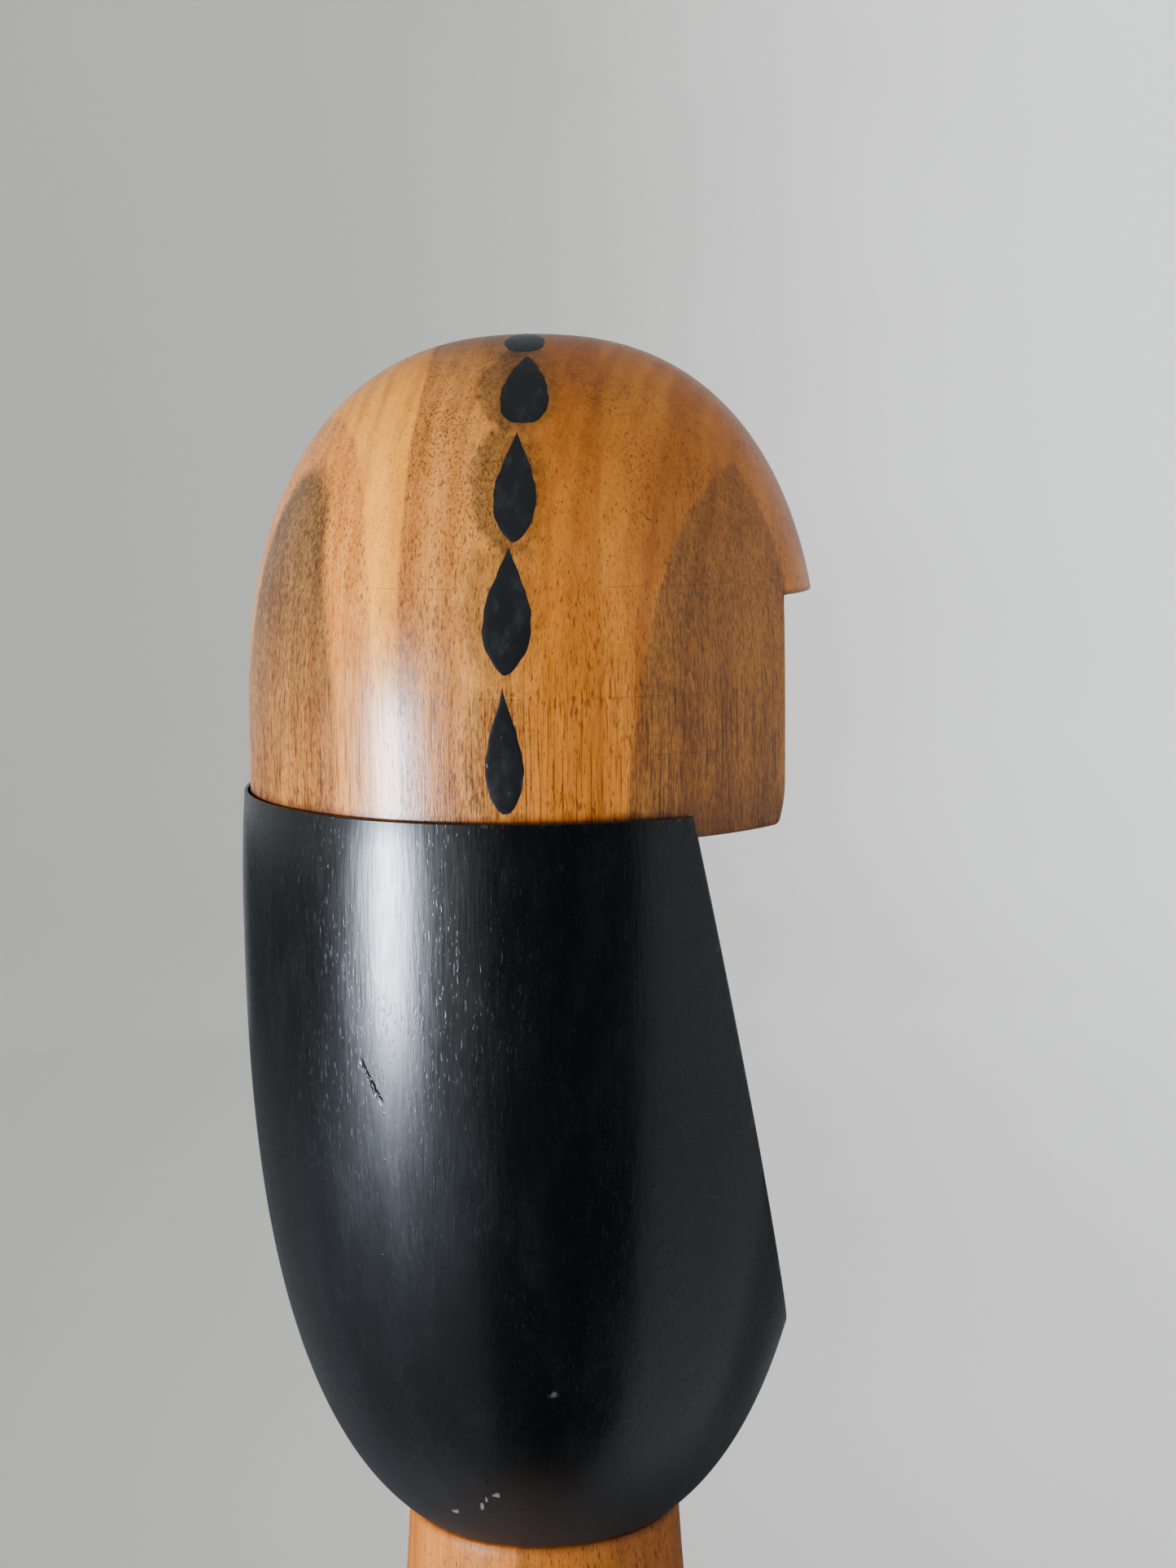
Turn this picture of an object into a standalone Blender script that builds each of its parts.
"""Turned wooden doll: a ball-like head that turns on a peg in a round recess of a
tall black body, and a bell-shaped foot dowelled under the body.

Metres, +Z up.  The turning axis is the Z axis, the foot rests on z = 0 and the
doll faces -Y.
"""
import math

import bmesh
import bpy

# ---------------------------------------------------------------- dimensions
GAP = 0.0003              # room left between two pieces that touch
SEGMENTS = 96             # facets around every large turned piece
PIN_SEGMENTS = 48         # facets around a peg or dowel

FOOT_HEIGHT = 0.074       # foot, from the table to the body's underside
FOOT_TOP_R = 0.01924      # where the body sits on it
FOOT_FLARE = 0.058        # radius gained per metre of height, all the way down
FOOT_BELL = 0.0062        # extra radius of the bell at the table
FOOT_BELL_POWER = 2.3
FOOT_EDGE_R = 0.0014      # rounding of the edge on the table
FOOT_TOP_EDGE = 0.0002    # broken edge under the body
FOOT_STEPS = 15

BODY_HEIGHT = 0.1032      # from the foot to the rim
RIM_Z = FOOT_HEIGHT + BODY_HEIGHT
RIM_R = 0.0400            # outside of the rim
BODY_MAX_R = 0.04057      # widest part of the body
BODY_MAX_DROP = 0.0159    # how far the widest part is below the rim
BODY_SEMI_HEIGHT = 0.0921
BODY_POWER = 2.586        # squareness of the body's rounded lower end
BODY_UPPER_STEPS = 4
BODY_LOWER_STEPS = 22
RIM_EDGE_R = 0.00022      # rounding of the thin lip
RIM_EDGE_STEPS = 2

FRONT_AT_RIM = 0.02035    # slanted front, from the axis, at the rim's height
FRONT_SLOPE = 0.1878      # metres forwards per metre down
FRONT_BOW = 0.00040       # how far the slanted front bulges
FRONT_LENGTH = 0.070      # height over which it bulges
FRONT_OVERRUN = 0.004     # how far its cutter runs past each end
FRONT_STEPS = 8

HEAD_R = 0.03914
HEAD_SHOULDER = 0.0077    # height above the rim where the side starts to curve in
HEAD_SEMI_HEIGHT = 0.0531
HEAD_POWER = 2.40         # squareness of the crown
HEAD_STEPS = 26
HEAD_SUNK = 0.0030        # how far the head goes down into the body
HEAD_EDGE_R = 0.0008      # rounding of the head's lower edge

FACE_PLANE = 0.03275      # flat face, from the axis
FRINGE_Z = RIM_Z + 0.0264     # underside of the overhanging fringe
CHIN_HEIGHT = 0.0056      # height over which the face curves back to the chin
CHIN_BACK = 0.0010        # how far it curves back
CHIN_STEPS = 6
EDGE_STEPS = 3
CHIN_OVERRUN = 0.0010     # how far its cutter runs below the head
CUTTER_REACH = 0.070      # outer side of both cutters, from the axis
CUTTER_HALF_WIDTH = 0.060

RECESS_GAP = 0.00036      # ring of air round the head
RECESS_DEPTH = HEAD_SUNK + GAP

PEG_R = 0.0060            # neck peg, glued in the body
PEG_IN_BODY = 0.020
PEG_IN_HEAD = 0.020
PEG_RUN = 0.00006         # running clearance of the head on the peg
DOWEL_R = 0.0070          # waist dowel, glued in body and foot
DOWEL_IN_BODY = 0.020
DOWEL_IN_FOOT = 0.022
PIN_CHAMFER = 0.0008
HOLE_END = 0.0006         # air beyond the end of a peg or dowel


# ---------------------------------------------------------------- scene
for old in list(bpy.data.objects):
    bpy.data.objects.remove(old, do_unlink=True)

doll = bpy.data.collections.new("turned_wooden_doll")
cutters = bpy.data.collections.new("cutters")
bpy.context.scene.collection.children.link(doll)
bpy.context.scene.collection.children.link(cutters)


def material(name, colour, roughness):
    mat = bpy.data.materials.new(name)
    mat.use_nodes = True
    shader = mat.node_tree.nodes["Principled BSDF"]
    shader.inputs["Base Color"].default_value = (*colour, 1.0)
    shader.inputs["Roughness"].default_value = roughness
    shader.inputs["Metallic"].default_value = 0.0
    mat.diffuse_color = (*colour, 1.0)
    return mat


def superellipse(radius, centre_z, semi_height, power, start, stop, steps):
    """Profile points (r, z) from angle start to stop, in degrees, 90 being the top."""
    points = []
    for i in range(steps + 1):
        a = math.radians(start + (stop - start) * i / steps)
        r = radius * max(math.cos(a), 0.0) ** (2.0 / power)
        z = centre_z + math.copysign(semi_height * abs(math.sin(a)) ** (2.0 / power), a)
        points.append((r, z))
    return points


def round_corner(centre_r, centre_z, radius, start, stop, steps):
    """Points of an arc in the profile plane, angles in degrees from +R."""
    points = []
    for i in range(steps + 1):
        a = math.radians(start + (stop - start) * i / steps)
        points.append((centre_r + radius * math.cos(a), centre_z + radius * math.sin(a)))
    return points


def turned(name, profile, z_origin, mat, segments=SEGMENTS):
    """Screw a profile round Z.  The profile starts on the axis at the top, runs
    down the outer side and ends on the axis; z_origin is the object's origin."""
    mesh = bpy.data.meshes.new(name)
    verts = [(r, 0.0, z - z_origin) for r, z in profile]
    edges = [(i, i + 1) for i in range(len(verts) - 1)]
    mesh.from_pydata(verts, edges, [])
    obj = bpy.data.objects.new(name, mesh)
    obj.location = (0.0, 0.0, z_origin)
    doll.objects.link(obj)
    screw = obj.modifiers.new("turned", "SCREW")
    screw.axis = "Z"
    screw.angle = math.tau
    screw.steps = segments
    screw.render_steps = segments
    screw.use_merge_vertices = True
    screw.merge_threshold = 0.00001
    screw.use_smooth_shade = True
    mesh.materials.append(mat)
    return obj


def cutter(name, outline, half_width):
    """A closed outline in the YZ plane, extruded both ways along X, as a mesh."""
    data = bpy.data.curves.new(name, "CURVE")
    data.dimensions = "2D"
    data.fill_mode = "BOTH"
    data.extrude = half_width
    spline = data.splines.new("POLY")
    spline.points.add(len(outline) - 1)
    for point, (y, z) in zip(spline.points, outline):
        point.co = (y, z, 0.0, 1.0)
    spline.use_cyclic_u = True
    curve = bpy.data.objects.new(name + "_outline", data)
    cutters.objects.link(curve)
    bpy.context.view_layer.update()
    graph = bpy.context.evaluated_depsgraph_get()
    mesh = bpy.data.meshes.new_from_object(curve.evaluated_get(graph))
    bm = bmesh.new()
    bm.from_mesh(mesh)
    bmesh.ops.remove_doubles(bm, verts=bm.verts, dist=0.00001)
    bmesh.ops.recalc_face_normals(bm, faces=bm.faces)
    bm.to_mesh(mesh)
    bm.free()
    obj = bpy.data.objects.new(name, mesh)
    # The curve's own X, Y and Z become the doll's Y, Z and X.
    obj.rotation_euler = (math.radians(90.0), 0.0, math.radians(90.0))
    obj.hide_render = True
    obj.display_type = "WIRE"
    cutters.objects.link(obj)
    bpy.data.objects.remove(curve, do_unlink=True)
    return obj


def cut(obj, tool):
    """Take tool away from obj."""
    boolean = obj.modifiers.new(tool.name, "BOOLEAN")
    boolean.operation = "DIFFERENCE"
    boolean.solver = "EXACT"
    boolean.object = tool


def pin_profile(radius, top, bottom):
    """A dowel with a chamfer at each end."""
    return [
        (0.0, top),
        (radius - PIN_CHAMFER, top),
        (radius, top - PIN_CHAMFER),
        (radius, bottom + PIN_CHAMFER),
        (radius - PIN_CHAMFER, bottom),
        (0.0, bottom),
    ]


honey_wood = material("honey_wood", (0.62, 0.32, 0.10), 0.38)
foot_wood = material("foot_wood", (0.60, 0.31, 0.10), 0.40)
black_wood = material("black_wood", (0.012, 0.012, 0.014), 0.36)
pale_wood = material("pale_wood", (0.70, 0.52, 0.30), 0.65)
dowel_wood = material("dowel_wood", (0.68, 0.50, 0.29), 0.65)

# ---------------------------------------------------------------- head
head_bottom = RIM_Z - HEAD_SUNK
head_bore_top = head_bottom + PEG_IN_HEAD - GAP + HOLE_END
head_bore_r = PEG_R + PEG_RUN
shoulder_z = RIM_Z + HEAD_SHOULDER
head_profile = superellipse(HEAD_R, shoulder_z, HEAD_SEMI_HEIGHT, HEAD_POWER, 90.0, 0.0, HEAD_STEPS)
head_profile[0] = (0.0, shoulder_z + HEAD_SEMI_HEIGHT)
head_edge_z = head_bottom + HEAD_EDGE_R
head_profile += round_corner(HEAD_R - HEAD_EDGE_R, head_edge_z, HEAD_EDGE_R, 0.0, -90.0, EDGE_STEPS)
head_profile += [
    (head_bore_r, head_bottom),
    (head_bore_r, head_bore_top),
    (0.0, head_bore_top),
]
head = turned("head", head_profile, RIM_Z, honey_wood)

# The face: a flat plane up to the fringe, curving back a little to the chin.
face_outline = [(-CUTTER_REACH, FRINGE_Z), (-FACE_PLANE, FRINGE_Z)]
for step in range(CHIN_STEPS + 1):
    t = step / CHIN_STEPS
    y = -FACE_PLANE + CHIN_BACK * t * t
    face_outline.append((y, head_bottom + CHIN_HEIGHT * (1.0 - t)))
chin_slope = 2.0 * CHIN_BACK / CHIN_HEIGHT
chin_y = -FACE_PLANE + CHIN_BACK + chin_slope * CHIN_OVERRUN
face_outline.append((chin_y, head_bottom - CHIN_OVERRUN))
face_outline.append((-CUTTER_REACH, head_bottom - CHIN_OVERRUN))
cut(head, cutter("face_cutter", face_outline, CUTTER_HALF_WIDTH))

# ---------------------------------------------------------------- body
body_mid = RIM_Z - BODY_MAX_DROP
recess_r = HEAD_R + RECESS_GAP
recess_floor = RIM_Z - RECESS_DEPTH
body_end_angle = math.degrees(math.acos((FOOT_TOP_R / BODY_MAX_R) ** (BODY_POWER / 2.0)))
lower = superellipse(
    BODY_MAX_R, body_mid, BODY_SEMI_HEIGHT, BODY_POWER, 0.0, -body_end_angle, BODY_LOWER_STEPS
)
body_bottom = lower[-1][1]

# Between the rim and the widest part the side is a shallow parabola.
upper = []
for step in range(1, BODY_UPPER_STEPS):
    t = step / BODY_UPPER_STEPS
    r = BODY_MAX_R - (BODY_MAX_R - RIM_R) * (1.0 - t) ** 2
    upper.append((r, RIM_Z - BODY_MAX_DROP * t))

body_profile = [
    (0.0, recess_floor - PEG_IN_BODY - HOLE_END),
    (PEG_R + GAP, recess_floor - PEG_IN_BODY - HOLE_END),
    (PEG_R + GAP, recess_floor),
    (recess_r, recess_floor),
]
lip_z = RIM_Z - RIM_EDGE_R
body_profile += round_corner(recess_r + RIM_EDGE_R, lip_z, RIM_EDGE_R, 180.0, 90.0, RIM_EDGE_STEPS)
body_profile += round_corner(RIM_R - RIM_EDGE_R, lip_z, RIM_EDGE_R, 90.0, 0.0, RIM_EDGE_STEPS)
body_profile += upper
body_profile += lower
body_profile += [
    (DOWEL_R + GAP, body_bottom),
    (DOWEL_R + GAP, body_bottom + DOWEL_IN_BODY + HOLE_END),
    (0.0, body_bottom + DOWEL_IN_BODY + HOLE_END),
]
body = turned("body", body_profile, RIM_Z, black_wood)

# The slanted front: a very slightly bulging face, further forward lower down.
front_outline = [(-CUTTER_REACH, RIM_Z + FRONT_OVERRUN)]
for step in range(FRONT_STEPS + 1):
    down = -FRONT_OVERRUN + (FRONT_LENGTH + 2.0 * FRONT_OVERRUN) * step / FRONT_STEPS
    along = 2.0 * down / FRONT_LENGTH - 1.0
    bow = FRONT_BOW * (1.0 - along * along)
    front_outline.append((-(FRONT_AT_RIM + FRONT_SLOPE * down + bow), RIM_Z - down))
front_outline.append((-CUTTER_REACH, RIM_Z - FRONT_LENGTH - FRONT_OVERRUN))
cut(body, cutter("front_cutter", front_outline, CUTTER_HALF_WIDTH))

# ---------------------------------------------------------------- foot
foot_top = body_bottom - GAP
foot_profile = [
    (0.0, foot_top - DOWEL_IN_FOOT - HOLE_END),
    (DOWEL_R + GAP, foot_top - DOWEL_IN_FOOT - HOLE_END),
    (DOWEL_R + GAP, foot_top),
    (FOOT_TOP_R - FOOT_TOP_EDGE, foot_top),
]
for step in range(FOOT_STEPS + 1):
    z = foot_top - FOOT_TOP_EDGE - (foot_top - FOOT_TOP_EDGE - FOOT_EDGE_R) * step / FOOT_STEPS
    depth = foot_top - FOOT_TOP_EDGE - z
    bell = FOOT_BELL * (depth / foot_top) ** FOOT_BELL_POWER
    foot_profile.append((FOOT_TOP_R + FOOT_FLARE * depth + bell, z))
foot_edge_r = foot_profile[-1][0] - FOOT_EDGE_R
foot_profile += round_corner(foot_edge_r, FOOT_EDGE_R, FOOT_EDGE_R, 0.0, -90.0, EDGE_STEPS)[1:]
foot_profile.append((0.0, 0.0))
foot = turned("foot", foot_profile, 0.0, foot_wood)

# ---------------------------------------------------------------- hidden pins
neck_peg = turned(
    "neck_peg",
    pin_profile(PEG_R, head_bottom + PEG_IN_HEAD - GAP, recess_floor - PEG_IN_BODY),
    RIM_Z,
    pale_wood,
    PIN_SEGMENTS,
)
waist_dowel = turned(
    "waist_dowel",
    pin_profile(DOWEL_R, body_bottom + DOWEL_IN_BODY, foot_top - DOWEL_IN_FOOT),
    foot_top,
    dowel_wood,
    PIN_SEGMENTS,
)
